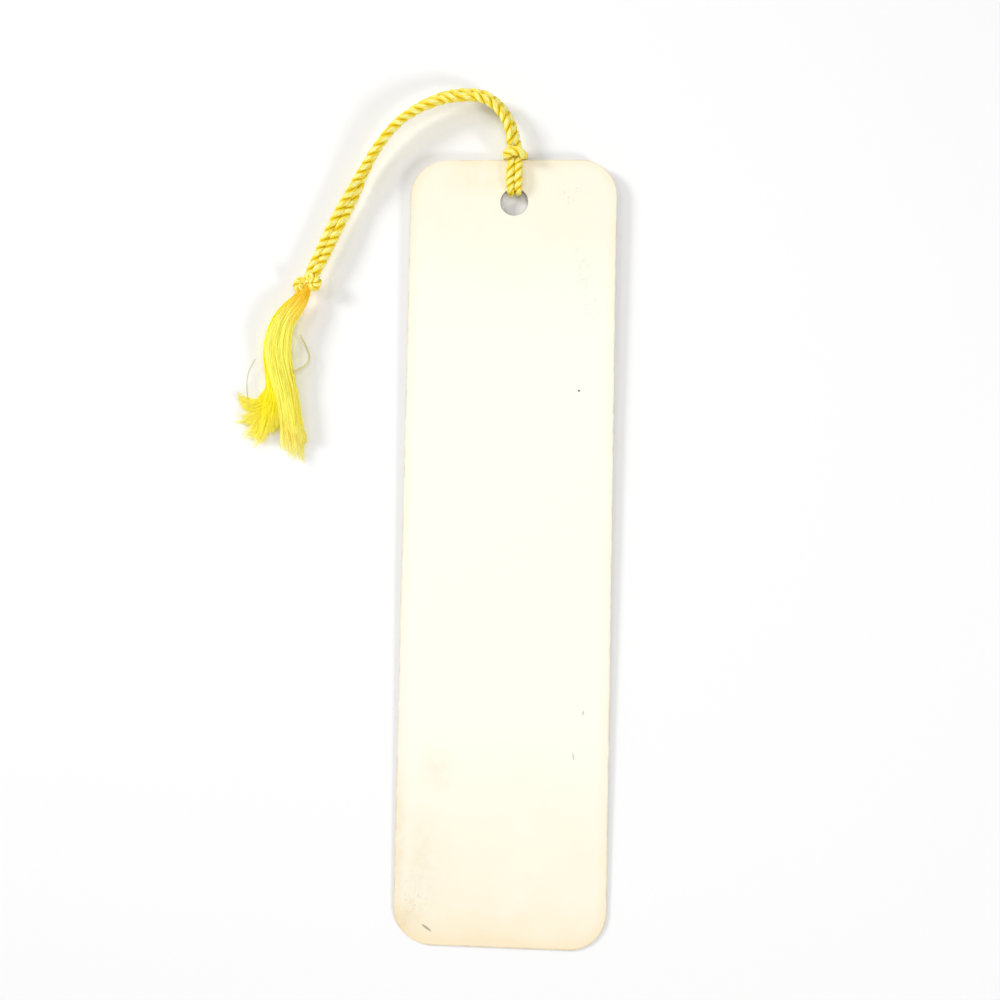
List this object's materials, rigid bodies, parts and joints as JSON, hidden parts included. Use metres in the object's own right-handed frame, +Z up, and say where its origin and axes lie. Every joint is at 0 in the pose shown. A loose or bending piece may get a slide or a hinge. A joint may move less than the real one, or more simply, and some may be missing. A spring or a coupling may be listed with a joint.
{
  "type": "bookmark",
  "caption": "Long ivory card with rounded corners and a punched hole, with a doubled yellow cord hitched through it that ends in a knot and a soft fringe, to mark a page.",
  "frame": {"origin": "on the table under the middle of the card", "axes": "+X across the card, +Y along the card towards the end with the cord, +Z up from the table to the bare face"},
  "size_m": [0.0948, 0.2086, 0.0065],
  "materials": {
    "ivory_board": "smooth uncoated board, a little yellowed towards its edges",
    "yellow_cord": "twisted rayon cord with a soft sheen",
    "yellow_floss": "loose rayon floss with a silky sheen"
  },
  "bodies": {
    "card": {"card": "ivory_board", "hitch_loop": "yellow_cord"},
    "neck": {"cord_neck": "yellow_cord"},
    "cord": {"cord_leg_left": "yellow_cord", "cord_leg_right": "yellow_cord", "tassel_knot": "yellow_cord"},
    "fringe": {"fringe_side_lock": "yellow_floss", "fringe_left_lock": "yellow_floss", "fringe_middle_lock": "yellow_floss", "fringe_right_lock": "yellow_floss"}
  },
  "joints": [
    {"name": "cord_roll", "type": "hinge", "parent": "card", "child": "neck", "pos_m": [0.00025, 0.09908, 0.0036], "axis": [-0.1392, 0.9903, 0], "range_deg": [0, 180]},
    {"name": "cord_swing", "type": "hinge", "parent": "neck", "child": "cord", "pos_m": [-0.00033, 0.10319, 0.0036], "axis": [0, 0, 1], "range_deg": [-80, 8]},
    {"name": "fringe_swing", "type": "hinge", "parent": "cord", "child": "fringe", "pos_m": [-0.05198, 0.05981, 0], "axis": [0, 0, 1], "range_deg": [-30, 12]}
  ]
}
